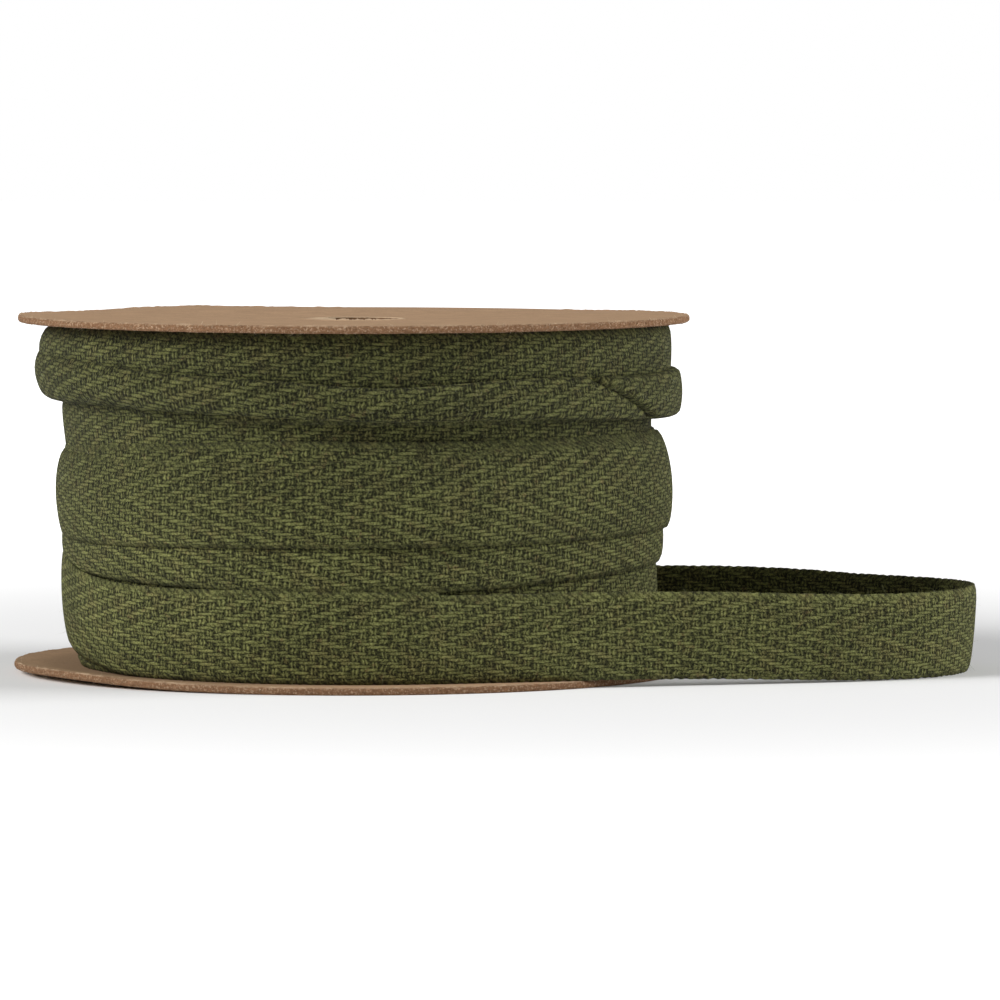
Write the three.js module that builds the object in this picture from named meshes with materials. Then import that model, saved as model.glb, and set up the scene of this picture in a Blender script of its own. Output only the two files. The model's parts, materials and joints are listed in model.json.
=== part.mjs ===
// A spool of narrow herringbone cotton tape: two round board cheeks, the tape wound between them,
// and the loose end of the tape, which leaves the lower front, loops to the right on its edge and
// comes back behind the spool.
// Lengths are in millimetres and angles in degrees. The spool stands on its lower board, +Z is up,
// the front faces -Y, and the origin is the middle of the footprint of spool and loop together.
import * as THREE from 'three';

// Driving dimensions
const BOARD_RADIUS = 37.5;
const BOARD_THICKNESS = 0.8;
const BOARD_BEVEL = 0.15;
const HOLE_RADIUS = 5.25;
const SPOOL_HEIGHT = 39.7;
const TAPE_WIDTH = 10;
const TAPE_THICKNESS = 1;
const GAP = 0.3;
const LOWER_BOARD_SHIFT = -0.5;
const WINDING_SHIFT = 0.5;
const TURN_STEPS = 84;
const BOARD_STEPS = 72;

// Heights and radii that follow from them
const WINDING_FOOT = BOARD_THICKNESS + GAP;
const WINDING_TOP = SPOOL_HEIGHT - BOARD_THICKNESS - GAP;
const BED_RADIUS = 32.1;
const TAPE_MIDDLE_RADIUS = BED_RADIUS + GAP + TAPE_THICKNESS / 2;

const BOARD_COLOUR = 0xa38769;
const TAPE_COLOUR = 0x5a5e40;

const radians = THREE.MathUtils.degToRad;

// Soft step from 0 to 1 as x goes from a to b
function ease(x, a, b) {
  const t = THREE.MathUtils.clamp((x - a) / (b - a), 0, 1);
  return t * t * (3 - 2 * t);
}

// Bell of height 1 at the centre, about width wide
function bell(x, centre, width) {
  return Math.exp(-(((x - centre) / width) ** 2));
}

// A place on a round of the given radius: angle 0 is the front, -90 the left, 90 the right
function onRound(radius, angle) {
  return [radius * Math.sin(radians(angle)), -radius * Math.cos(radians(angle))];
}

// Value at any angle from four values at the left, front, right and back, blended softly
function around([left, front, right, back], angle) {
  const ring = [back, left, front, right, back];
  const quarter = THREE.MathUtils.clamp(Math.floor((angle + 180) / 90), 0, 3);
  return THREE.MathUtils.lerp(ring[quarter], ring[quarter + 1], ease((angle + 180) / 90 - quarter, 0, 1));
}

// Closed mesh from sections that all have the same number of points. Each section is a loop of
// points; the sections either close on themselves or are capped at both ends.
function skin(sections, closed) {
  const count = sections[0].length;
  const positions = sections.flat(2);
  const index = [];
  const last = closed ? sections.length : sections.length - 1;
  for (let i = 0; i < last; i += 1) {
    for (let j = 0; j < count; j += 1) {
      const a = i * count + j;
      const b = i * count + ((j + 1) % count);
      const c = ((i + 1) % sections.length) * count + j;
      const d = ((i + 1) % sections.length) * count + ((j + 1) % count);
      index.push(a, c, b, b, c, d);
    }
  }
  if (!closed) {
    const end = (sections.length - 1) * count;
    for (let j = 1; j < count - 1; j += 1) {
      index.push(0, j, j + 1, end, end + j + 1, end + j);
    }
  }
  const geometry = new THREE.BufferGeometry();
  geometry.setAttribute('position', new THREE.Float32BufferAttribute(positions, 3));
  geometry.setIndex(index);
  geometry.computeVertexNormals();
  return geometry;
}

// Ring turned about the axis, whose section [radius, height] may change with the angle
function turned(sectionAt, steps) {
  const sections = [];
  for (let i = 0; i < steps; i += 1) {
    const angle = (360 * i) / steps - 180;
    sections.push(sectionAt(angle).map(([radius, height]) => [...onRound(radius, angle), height]));
  }
  return skin(sections, true);
}

// Board cheek: a punched disc whose rim may lift a little, as pressed board does.
// The lift of each rim is given at the left, front, right and back.
const RIM_FREE_FROM = 31;
const LOWER_RIM_LIFT = [0.45, 0, 0, 0.1];
const UPPER_RIM_LIFT = [0.2, 0, 0.15, -0.1];

function boardGeometry(rimLift) {
  const radii = [HOLE_RADIUS, RIM_FREE_FROM, (RIM_FREE_FROM + BOARD_RADIUS) / 2, BOARD_RADIUS - BOARD_BEVEL];
  const sectionAt = (angle) => {
    const lift = (radius) => around(rimLift, angle) * ease(radius, RIM_FREE_FROM, BOARD_RADIUS);
    const underside = radii.map((radius) => [radius, lift(radius)]);
    const edge = [
      [BOARD_RADIUS, BOARD_BEVEL + lift(BOARD_RADIUS)],
      [BOARD_RADIUS, BOARD_THICKNESS - BOARD_BEVEL + lift(BOARD_RADIUS)],
    ];
    const face = radii.map((radius) => [radius, BOARD_THICKNESS + lift(radius)]).reverse();
    return [...underside, ...edge, ...face];
  };
  return turned(sectionAt, BOARD_STEPS);
}

// Last turn of the tape: it lies level along the front and climbs on the left, its upper edge
// first. Each climb is the rise of an edge between two angles on the left side.
const TOP_CLIMB = { rise: 3.3, from: 40, to: 100 };
const FOOT_CLIMB = { rise: 2.6, from: 50, to: 95 };

function tapeTopHeight(angle) {
  return WINDING_FOOT + TAPE_WIDTH - GAP + TOP_CLIMB.rise * ease(-angle, TOP_CLIMB.from, TOP_CLIMB.to);
}

function tapeFootHeight(angle) {
  return WINDING_FOOT + FOOT_CLIMB.rise * ease(-angle, FOOT_CLIMB.from, FOOT_CLIMB.to);
}

// Lower edge of the turn above it: it butts on the last turn along the front, climbs at the
// right, and comes round the back to the last turn's height on the left
const RIGHT_CLIMB = { rise: 1.5, from: 15, to: 95 };
const BACK_CLIMB = { rise: TOP_CLIMB.rise - RIGHT_CLIMB.rise, from: 95, to: 180 };

function buttHeight(angle) {
  const climb = RIGHT_CLIMB.rise * ease(angle, RIGHT_CLIMB.from, RIGHT_CLIMB.to);
  const behind = BACK_CLIMB.rise * ease(angle, BACK_CLIMB.from, BACK_CLIMB.to);
  return tapeTopHeight(angle) + GAP + climb + behind;
}

// Wound form from the top down, a row for each place on the section where a turn begins, bulges
// or ends, with its height and radius at the left, front, right and back.
const WOUND_SECTION = [
  { place: 'upper turn, top edge', height: [38.6, 38.6, 38.6, 38.6], radius: [34.3, 34.1, 34.2, 34.2] },
  { place: 'upper turn, shoulder', height: [37.8, 37.8, 37.8, 37.8], radius: [34.9, 34.6, 34.6, 34.7] },
  { place: 'upper turn, belly', height: [36.8, 35.4, 35.2, 36.0], radius: [35.6, 34.9, 34.6, 35.0] },
  { place: 'crease over the fold', height: [36.1, 33.5, 33.4, 34.7], radius: [35.6, 34.6, 34.5, 34.8] },
  { place: 'folded turn, fold', height: [35.5, 32.9, 32.9, 34.1], radius: [36.1, 35.5, 35.5, 35.7] },
  { place: 'folded turn, belly', height: [33.8, 31.4, 31.0, 32.3], radius: [36.4, 36.0, 35.9, 36.1] },
  { place: 'folded turn, low', height: [31.4, 29.9, 29.1, 30.3], radius: [35.4, 35.7, 35.8, 35.6] },
  { place: 'folded turn, underside', height: [30.4, 29.4, 28.6, 29.7], radius: [33.8, 33.3, 32.9, 33.3] },
  { place: 'recess', height: [28.6, 28.3, 27.7, 28.3], radius: [33.2, 32.7, 32.5, 32.8] },
  { place: 'recess, foot', height: [26.1, 27.1, 27.2, 26.8], radius: [32.9, 32.6, 32.6, 32.7] },
  { place: 'middle turn, top edge', height: [25.6, 26.5, 26.7, 26.3], radius: [33.0, 33.4, 33.5, 33.3] },
  { place: 'middle turn, shoulder', height: [24.3, 25.0, 25.2, 24.9], radius: [33.2, 33.8, 34.2, 33.7] },
  { place: 'middle turn, belly', height: [21.2, 21.0, 21.4, 21.0], radius: [33.8, 34.3, 34.8, 34.2] },
  { place: 'middle turn, low', height: [17.6, 17.9, 18.5, 17.9], radius: [33.6, 34.3, 34.6, 34.2] },
  { place: 'middle turn, lower edge', height: [15.3, 15.8, 16.5, 15.8], radius: [33.3, 34.0, 34.2, 34.0] },
  { place: 'lower turn, under it', height: [14.9, 15.3, 16.0, 15.3], radius: [33.0, 33.4, 33.6, 33.4] },
];
const LOWER_TURN_RADII = [33.0, 33.3, 33.3, 33.3];
const LOWER_EDGE_ROUNDING = { height: 0.4, radius: 0.2 };
const BED_RADII = [31.9, BED_RADIUS, 32.8, 32.4];
const BED_EDGE_RADII = [31.5, BED_RADIUS, 32.4, 32.0];

// Twist in the folded turn at the right: a flap stands proud beyond a crease that runs down to
// the right. The crease is a trough about a line in angle and height.
const TWIST = { angle: 60, height: 31.9, fallPerDegree: 0.245, depth: 0.6, width: 1.2 };
const TWIST_ENDS = { from: 46, to: 72, fade: 6 };
// Hollow under the fold at the left front
const HOLLOW = { angle: -50, height: 30.2, depth: 0.9, across: 13, tall: 1.2 };

function creases(angle, height) {
  const line = TWIST.height - TWIST.fallPerDegree * (angle - TWIST.angle);
  const begins = ease(angle, TWIST_ENDS.from - TWIST_ENDS.fade, TWIST_ENDS.from);
  const ends = ease(angle, TWIST_ENDS.to, TWIST_ENDS.to + TWIST_ENDS.fade);
  const twist = TWIST.depth * (begins - ends) * bell(height, line, TWIST.width);
  const hollow = bell(angle, HOLLOW.angle, HOLLOW.across) * bell(height, HOLLOW.height, HOLLOW.tall);
  return twist + HOLLOW.depth * hollow;
}

function windingGeometry() {
  const sectionAt = (angle) => {
    const outside = WOUND_SECTION.map(({ height, radius }) => {
      const level = around(height, angle);
      return [around(radius, angle) - creases(angle, level), level];
    });
    const butt = buttHeight(angle);
    const lower = [
      [around(LOWER_TURN_RADII, angle), butt + LOWER_EDGE_ROUNDING.height],
      [around(LOWER_TURN_RADII, angle) - LOWER_EDGE_ROUNDING.radius, butt],
      [around(BED_RADII, angle), butt - GAP],
      [around(BED_RADII, angle), (butt + WINDING_FOOT) / 2],
      [around(BED_EDGE_RADII, angle), WINDING_FOOT],
    ];
    const bore = [
      [HOLE_RADIUS, WINDING_FOOT],
      [HOLE_RADIUS, WINDING_TOP],
    ];
    return [...outside, ...lower, ...bore].reverse();
  };
  return turned(sectionAt, TURN_STEPS);
}

// Route of the loose end, a row for each place on its middle line once it has left the winding:
// x to the right and y away from the front of the spool's axis, the height of its lower edge
// and how far its upper edge leans outward.
const LEAVES_AT = 16;
const LOOSE_ROUTE = [
  { x: 26.4, y: -26.7, foot: WINDING_FOOT, lean: 0.2 },
  { x: 37.9, y: -23.3, foot: 0.8, lean: 0.6 },
  { x: 49.5, y: -20.2, foot: 0.4, lean: 1.2 },
  { x: 57.5, y: -17.0, foot: 0.1, lean: 1.5 },
  { x: 63.8, y: -12.6, foot: 0, lean: 1.4 },
  { x: 67.9, y: -6.6, foot: 0, lean: 1.2 },
  { x: 69.4, y: 0.6, foot: 0, lean: 1.0 },
  { x: 67.9, y: 7.4, foot: 0, lean: 0.9 },
  { x: 63.6, y: 13.0, foot: 0, lean: 0.8 },
  { x: 57.6, y: 18.4, foot: 0, lean: 0.8 },
  { x: 50.6, y: 24.4, foot: 0, lean: 0.8 },
  { x: 43.0, y: 29.0, foot: 0, lean: 0.6 },
  { x: 34.6, y: 31.8, foot: 0, lean: 0.4 },
  { x: 26.0, y: 35.0, foot: 0, lean: 0.2 },
  { x: 17.0, y: 38.2, foot: 0, lean: 0.2 },
  { x: 8.0, y: 40.2, foot: 0, lean: 0.2 },
];
const WRAP_FROM = -112;
const WRAP_STEP = 5.3;
const LOOSE_STEPS = 46;
const TAPE_CUP = 0.25;

// Places along the tape: middle of its thickness, outward direction, heights of its two edges
// and lean. The first stretch lies on the winding, the second is the loose end.
function tapePlaces() {
  const places = [];
  for (let angle = WRAP_FROM; angle < LEAVES_AT; angle += WRAP_STEP) {
    const bed = around(BED_RADII, Math.min(angle, 0));
    const middle = onRound(bed + GAP + TAPE_THICKNESS / 2, angle);
    places.push({
      middle: [middle[0] + WINDING_SHIFT, middle[1]],
      outward: onRound(1, angle),
      foot: tapeFootHeight(angle),
      top: tapeTopHeight(angle),
      lean: 0,
    });
  }
  const leaving = onRound(TAPE_MIDDLE_RADIUS, LEAVES_AT);
  const rows = [{ x: leaving[0] + WINDING_SHIFT, y: leaving[1], foot: WINDING_FOOT, lean: 0 }, ...LOOSE_ROUTE];
  const points = rows.map(({ x, y }) => new THREE.Vector3(x, y, 0));
  const route = new THREE.CatmullRomCurve3(points, false, 'centripetal');
  for (let i = 0; i <= LOOSE_STEPS; i += 1) {
    const u = i / LOOSE_STEPS;
    const point = route.getPoint(u);
    const along = route.getTangent(u);
    const stretch = Math.min(Math.floor(u * (rows.length - 1)), rows.length - 2);
    const share = u * (rows.length - 1) - stretch;
    const foot = THREE.MathUtils.lerp(rows[stretch].foot, rows[stretch + 1].foot, share);
    const lean = THREE.MathUtils.lerp(rows[stretch].lean, rows[stretch + 1].lean, share);
    places.push({
      middle: [point.x, point.y],
      outward: [along.y, -along.x],
      foot,
      top: foot + Math.sqrt((TAPE_WIDTH - GAP) ** 2 - lean ** 2),
      lean,
    });
  }
  return places;
}

function tapeGeometry() {
  const sections = tapePlaces().map(({ middle, outward, foot, top, lean }) => {
    const corner = (side, share) => {
      const cup = TAPE_CUP * Math.min(lean, 1) * 4 * share * (1 - share);
      const out = (side * TAPE_THICKNESS) / 2 + lean * (share - 0.5) + cup;
      return [
        middle[0] + outward[0] * out,
        middle[1] + outward[1] * out,
        THREE.MathUtils.lerp(foot, top, share),
      ];
    };
    return [corner(1, 0), corner(1, 0.5), corner(1, 1), corner(-1, 1), corner(-1, 0.5), corner(-1, 0)];
  });
  return skin(sections, false);
}

function part(name, geometry, color) {
  const material = new THREE.MeshStandardMaterial({ color, roughness: 0.95, metalness: 0 });
  const mesh = new THREE.Mesh(geometry, material);
  mesh.name = name;
  return mesh;
}

const lowerBoard = part('flange_bottom', boardGeometry(LOWER_RIM_LIFT), BOARD_COLOUR);
lowerBoard.position.x = LOWER_BOARD_SHIFT;

const upperBoard = part('flange_top', boardGeometry(UPPER_RIM_LIFT), BOARD_COLOUR);
upperBoard.position.z = SPOOL_HEIGHT - BOARD_THICKNESS;

const winding = part('winding', windingGeometry(), TAPE_COLOUR);
winding.position.x = WINDING_SHIFT;

const looseTape = part('loose_tape', tapeGeometry(), TAPE_COLOUR);

const spool = new THREE.Group();
spool.add(lowerBoard, winding, upperBoard, looseTape);

// The origin goes to the middle of the footprint, on the surface that the spool stands on
const footprint = new THREE.Box3().setFromObject(spool);
spool.position.x = -(footprint.min.x + footprint.max.x) / 2;
spool.position.y = -(footprint.min.y + footprint.max.y) / 2;

export default spool;
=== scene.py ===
"""Olive herringbone cotton tape on a spool with two kraft board cheeks.

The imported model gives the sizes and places; this file gives every turn of tape that shows, the
boards with their punched edges and torn hole, the weave, and a plain studio.
"""

import json
import math

import bpy
import mathutils
import numpy as np
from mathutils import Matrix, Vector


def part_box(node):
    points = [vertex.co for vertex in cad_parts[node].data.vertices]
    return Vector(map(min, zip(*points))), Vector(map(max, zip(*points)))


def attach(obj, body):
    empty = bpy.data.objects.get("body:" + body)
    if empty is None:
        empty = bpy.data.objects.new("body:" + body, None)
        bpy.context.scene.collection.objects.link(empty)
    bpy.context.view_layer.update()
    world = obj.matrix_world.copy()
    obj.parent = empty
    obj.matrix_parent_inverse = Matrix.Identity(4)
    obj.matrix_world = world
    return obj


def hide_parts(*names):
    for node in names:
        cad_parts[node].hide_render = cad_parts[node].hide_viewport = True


bl_info = {
    "name": "Tape spool",
    "version": (1, 0, 0),
    "blender": (4, 5, 0),
    "location": "3D View > Sidebar > Spool",
    "description": "A spool of herringbone tape with its turns, boards and loose end",
    "category": "Add Mesh",
}

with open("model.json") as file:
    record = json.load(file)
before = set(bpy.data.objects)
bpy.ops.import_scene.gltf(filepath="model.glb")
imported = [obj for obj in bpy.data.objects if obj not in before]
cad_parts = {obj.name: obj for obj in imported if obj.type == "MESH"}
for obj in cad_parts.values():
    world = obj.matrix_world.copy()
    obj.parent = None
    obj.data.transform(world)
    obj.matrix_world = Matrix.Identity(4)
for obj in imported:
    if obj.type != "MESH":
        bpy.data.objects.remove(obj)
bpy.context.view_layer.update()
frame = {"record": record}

MM = 0.001
UPPER_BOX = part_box("flange_top")
LOWER_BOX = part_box("flange_bottom")
MOUNTS = {mount["name"]: mount["pos_m"] for mount in frame["record"]["mounts"]}

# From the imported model: the axes of the boards and the height of the top in millimetres, and the
# boards' radius in metres. The winding sits a little to the right of the boards' axis.
AXIS = [(UPPER_BOX[0][k] + UPPER_BOX[1][k]) / 2 / MM for k in (0, 1)]
LOWER_AXIS = [(LOWER_BOX[0][k] + LOWER_BOX[1][k]) / 2 / MM for k in (0, 1)]
BOARD_RADIUS = (UPPER_BOX[1][0] - UPPER_BOX[0][0]) / 2
SPOOL_TOP = MOUNTS["top_face"][2] / MM
WINDING_OFFSET = 0.5
WINDING_AXIS = [AXIS[0] + WINDING_OFFSET, AXIS[1]]
HOLE_RADIUS = 5.25

SEED = 11
# Height of the relief that the materials draw, in metres
YARN_RELIEF = 0.00024
BOARD_RELIEF = 0.00008
# Crown colour of the few yarns that took the dye warmer, and colours of loose fibres
WARM_YARN = (0.185, 0.140, 0.056)
COTTON_LINT = (0.36, 0.37, 0.22)
BOARD_LINT = (0.72, 0.58, 0.42)
# Painted shade under the upper board: heights over the floor, in metres, between which the tape's
# colour is darkened towards the upper board and a little brightened low down, and its strength at
# each
BOARD_SHADE_FADE = (0.006, 0.034, 1.10, 0.70)


# Settings that a user would change


def setting(name, description, value, **options):
    """A setting: a whole number, a number or a colour, by what its first value is."""
    kind = bpy.props.FloatProperty
    if isinstance(value, int):
        kind = bpy.props.IntProperty
    if isinstance(value, tuple):
        kind, options = bpy.props.FloatVectorProperty, {"subtype": "COLOR"}
    return kind(name=name, description=description, default=value, **options)


class TapeSettings(bpy.types.PropertyGroup):
    """Sizes and colours of the tape."""

    width: setting("Width", "Width of the tape", 0.010, unit="LENGTH")
    thickness: setting("Thickness", "Thickness of the tape", 0.0007, unit="LENGTH")
    pick: setting("Pick spacing", "Spacing of the doubled picks", 0.00107, unit="LENGTH")
    ends: setting("Ends", "Warp ends across the tape", 28)
    # Painted light on the yarns: the crown colour is the yarn's own made brighter as a painted
    # highlight, and the gap colour is painted shade between the yarns
    light: setting("Yarn crown", "Colour on the crown of a yarn", (0.173, 0.180, 0.060))
    dark: setting("Yarn gap", "Colour between the yarns", (0.010, 0.011, 0.004))
    hairs: setting("Hairs", "Loose fibres that stand off the tape", 3200)


class BoardSettings(bpy.types.PropertyGroup):
    """Sizes and colours of the board cheeks."""

    thickness: setting("Thickness", "Thickness of a cheek", 0.0008, unit="LENGTH")
    burr: setting("Burr", "Height of the lip that the punch raised", 0.00009, unit="LENGTH")
    face: setting("Face", "Colour of the board's faces", (0.390, 0.254, 0.153))
    raw: setting("Raw edge", "Colour of the punched edge", (0.184, 0.099, 0.053))
    torn: setting("Torn fibre", "Colour of torn and lifted fibres", (0.520, 0.380, 0.250))


class StudioSettings(bpy.types.PropertyGroup):
    """Camera, lights and floor."""

    distance: setting("Distance", "From the spool's axis to the camera", 0.920, unit="LENGTH")
    height: setting("Height", "Camera above the floor", 0.0684, unit="LENGTH")
    pitch: setting(
        "Pitch", "How far the camera looks down", math.radians(3.07), subtype="ANGLE")
    lens: setting("Lens", "Focal length in millimetres", 296.6)
    key: setting("Key light", "Power of the key light in watts", 13.8)
    fill: setting("Fill light", "Power of the fill light in watts", 12.8)
    sky: setting("Sky", "Strength of the even light all round", 0.20)
    floor: setting("Floor", "Colour of the floor and backdrop", (0.90, 0.90, 0.90))


# Shape helpers: whole arrays, in millimetres, with angle 0 at the front, -90 left and 90 right


def ease(x, a, b):
    """Soft step from 0 at a to 1 at b: 3t^2 - 2t^3 of the share t of the way."""
    t = np.clip((x - a) / (b - a), 0, 1)
    return t * t * (3 - 2 * t)


def bell(x, centre, width):
    """Bell curve of height 1 at the centre."""
    return np.exp(-(((x - centre) / width) ** 2))


def full_turn(count):
    """Angles of a full turn from the back round, evenly spaced."""
    return -180 + 360 * np.arange(count) / count


def unit(vectors, least=0.0):
    """The vectors brought to length 1, with a least length added to what they are divided by."""
    return vectors / (np.linalg.norm(vectors, axis=-1, keepdims=True) + least)


def ring_bell(angle, centre, width):
    """Bell curve of the angle from the centre by the shorter way round the axis."""
    return bell((angle - centre + 180) % 360 - 180, 0, width)


def around(stations, angle):
    """Value at an angle, eased between those at the left, front, right and back."""
    left, front, right, back = stations
    ring = np.array([back, left, front, right, back])
    place = (np.asarray(angle) + 180) % 360 / 90
    quarter = np.minimum(place.astype(int), 3)
    share = ease(place - quarter, 0, 1)
    return ring[quarter] + (ring[quarter + 1] - ring[quarter]) * share


def spans(x, keys, values):
    """Steps and slopes between keyed values, and the number of the step that each place is in."""
    step = np.diff(keys)
    place = np.searchsorted(keys, x, side="right") - 1
    return step, np.diff(values) / step, np.clip(place, 0, len(step) - 1)


def keyed(x, keys, values):
    """Smooth curve through keyed values: cubic pieces whose slope at a key is the harmonic mean
    of the slopes on its two sides, and zero at a turning point, so that nothing overshoots."""
    step, rise, i = spans(x, keys, values)
    product = rise[1:] * rise[:-1]
    total = rise[1:] + rise[:-1]
    inner = np.where(product > 0, 2 * product / np.where(product > 0, total, 1), 0)
    slope = np.concatenate([rise[:1], inner, rise[-1:]])
    t = np.clip((x - keys[i]) / step[i], 0, 1)
    return (
        values[i] * (1 + 2 * t) * (1 - t) ** 2
        + values[i + 1] * t**2 * (3 - 2 * t)
        + step[i] * (slope[i] * t * (1 - t) ** 2 + slope[i + 1] * t**2 * (t - 1))
    )


def wobble(angle, seed, waves=(2, 9)):
    """Unevenness round the axis, about -1 to 1: whole-numbered sine waves of falling height and
    chance phase, so that it meets itself after a turn."""
    chance = np.random.default_rng(SEED + seed)
    counts = np.arange(waves[0], waves[1] + 1)
    heights = chance.uniform(0.5, 1, len(counts)) / np.sqrt(counts / waves[0])
    phases = chance.uniform(0, 2 * np.pi, len(counts))
    turns = np.radians(np.asarray(angle))[..., None] * counts + phases
    return (np.sin(turns) * heights).sum(-1) / np.sqrt((heights**2).sum() * 2)


def on_round(radius, angle, height, axis):
    """Points at a radius, angle and height about an upright axis."""
    turn = np.radians(angle)
    return np.stack(
        [axis[0] + radius * np.sin(turn), axis[1] - radius * np.cos(turn), height + 0 * radius],
        axis=-1,
    )


def place_object(name, data):
    """A new object in the scene that shows a mesh, light or camera."""
    holder = bpy.data.objects.new(name, data)
    bpy.context.collection.objects.link(holder)
    return holder


def grid_quads(rows, columns, close_i, close_j):
    """Corners of the quads between neighbours in a grid of points, and the quads' places."""
    i = np.arange(rows if close_i else rows - 1)
    j = np.arange(columns if close_j else columns - 1)
    i, j = [a.ravel() for a in np.meshgrid(i, j, indexing="ij")]
    i2, j2 = (i + 1) % rows, (j + 1) % columns
    quads = np.stack([i * columns + j, i2 * columns + j, i2 * columns + j2, i * columns + j2], 1)
    return quads, i, j


def mesh_from_grid(name, points, close_i=False, close_j=True, caps=False, uv=None, marks=None):
    """Mesh from a grid of points (I, J, 3) in millimetres, with a quad between neighbours. A grid
    may close on itself either way, or have its two end loops capped. uv holds (I + 1, J + 1, 2)
    texture places for closed sides; marks are named values for each point."""
    rows, columns = points.shape[:2]
    quads, i, j = grid_quads(rows, columns, close_i, close_j)
    faces = quads.tolist()
    if caps:
        faces.append(list(range(columns)))
        faces.append(list(range(rows * columns - 1, (rows - 1) * columns - 1, -1)))
    mesh = bpy.data.meshes.new(name)
    mesh.from_pydata((points.reshape(-1, 3) * MM).tolist(), [], faces)
    mesh.polygons.foreach_set("use_smooth", np.ones(len(faces), bool))
    if uv is not None:
        layer = mesh.uv_layers.new(name="weave")
        corners = np.stack([uv[i, j], uv[i + 1, j], uv[i + 1, j + 1], uv[i, j + 1]], 1)
        corners = corners.reshape(-1, 2)
        if caps:
            corners = np.concatenate([corners, uv[0, :columns], uv[rows - 1, columns - 1::-1]])
        layer.data.foreach_set("uv", corners.astype(np.float32).ravel())
    for mark, values in (marks or {}).items():
        attribute = mesh.attributes.new(mark, "FLOAT", "POINT")
        attribute.data.foreach_set("value", np.asarray(values, np.float32).ravel())
    mesh.update()
    return place_object(name, mesh)


# Shader helper


def math_node(operation):
    """A method that adds one Math node on its wire and others."""
    return lambda wire, *others: wire.sum(operation, *others)


class Wire:
    """A node socket in a material. Arithmetic on it adds Math nodes."""

    def __init__(self, tree, socket=None):
        self.tree = tree
        self.socket = socket

    def node(self, kind, settings=None, inputs=None, output=0):
        """Adds a node of a type with its settings, set first, and the values or links of its
        sockets. The wire comes from the output of a number or name, and a node with no output
        has None."""
        made = self.tree.nodes.new(kind)
        for key, value in (settings or {}).items():
            setattr(made, key, value)
        sockets = {socket.identifier: socket for socket in made.inputs}
        for key, value in (inputs or {}).items():
            socket = None if isinstance(key, int) else sockets.get(key)
            socket = socket or made.inputs[key]
            if isinstance(value, Wire):
                self.tree.links.new(value.socket, socket)
            else:
                socket.default_value = value
        if output is None:
            return None
        if isinstance(output, str):
            found = {socket.identifier: socket for socket in made.outputs}
            return Wire(self.tree, found.get(output) or made.outputs[output])
        return Wire(self.tree, made.outputs[output])

    def sum(self, operation, *values, clamp=False):
        """One Math node on this socket and others."""
        inputs = dict(enumerate([self, *values]))
        return self.node("ShaderNodeMath", {"operation": operation, "use_clamp": clamp}, inputs)

    __add__ = __radd__ = math_node("ADD")
    __mul__ = __rmul__ = math_node("MULTIPLY")
    __sub__ = math_node("SUBTRACT")
    __truediv__ = math_node("DIVIDE")
    __pow__ = math_node("POWER")
    floor = math_node("FLOOR")
    fract = math_node("FRACT")
    sine = math_node("SINE")
    absolute = math_node("ABSOLUTE")

    def __rsub__(self, other):
        return self.node("ShaderNodeMath", {"operation": "SUBTRACT"}, {0: other, 1: self})

    def clamped(self):
        return self.sum("ADD", 0.0, clamp=True)

    def eased(self, low, high, to_low=0.0, to_high=1.0):
        """Soft step between two values, by a Map Range node."""
        inputs = {"Value": self, "From Min": low, "From Max": high,
                  "To Min": to_low, "To Max": to_high}
        return self.node("ShaderNodeMapRange", {"interpolation_type": "SMOOTHSTEP"}, inputs)

    def noise(self, scale, detail=2.0, roughness=0.5):
        """Noise on this vector, 0 to 1."""
        inputs = {"Vector": self, "Scale": scale, "Detail": detail, "Roughness": roughness}
        return self.node("ShaderNodeTexNoise", None, inputs)

    def chance(self, other=0.0):
        """One chance value for each whole pair of numbers."""
        inputs = {"Vector": self.pair(other)}
        return self.node("ShaderNodeTexWhiteNoise", {"noise_dimensions": "2D"}, inputs)

    def parts(self):
        """The three numbers of this vector."""
        made = self.node("ShaderNodeSeparateXYZ", None, {"Vector": self})
        return [Wire(self.tree, made.socket.node.outputs[k]) for k in range(3)]

    def pair(self, other):
        """Vector of this number and another."""
        return self.node("ShaderNodeCombineXYZ", None, {"X": self, "Y": other})

    def shaded(self, colour):
        """A colour made lighter or darker by this number."""
        inputs = {0: colour, "Scale": self}
        return self.node("ShaderNodeVectorMath", {"operation": "SCALE"}, inputs)

    def mark(self, name):
        """A named value that the mesh holds for each point."""
        return self.node("ShaderNodeAttribute", {"attribute_name": name}, output="Fac")

    def bump(self, distance):
        """Normal of the relief that this number draws, as high as the distance in metres."""
        inputs = {"Height": self, "Distance": distance, "Strength": 1.0}
        return self.node("ShaderNodeBump", None, inputs)

    def blend(self, first, second):
        """Colour between two, by this share."""
        first, second = [c if isinstance(c, Wire) else (*c, 1) for c in (first, second)]
        inputs = {"Factor_Float": self, "A_Color": first, "B_Color": second}
        return self.node("ShaderNodeMix", {"data_type": "RGBA"}, inputs, output="Result_Color")


# Materials


def new_material(name):
    """An empty material, a wire into its node tree and one that holds the place on the object."""
    material = bpy.data.materials.new(name)
    material.use_nodes = True
    material.node_tree.nodes.clear()
    wire = Wire(material.node_tree)
    return material, wire, wire.node("ShaderNodeTexCoord", output="Object")


def close_material(wire, inputs):
    """Joins a Principled shader of these inputs to the material's output."""
    shader = wire.node("ShaderNodeBsdfPrincipled", None, inputs)
    wire.node("ShaderNodeOutputMaterial", None, {"Surface": shader}, output=None)


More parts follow.
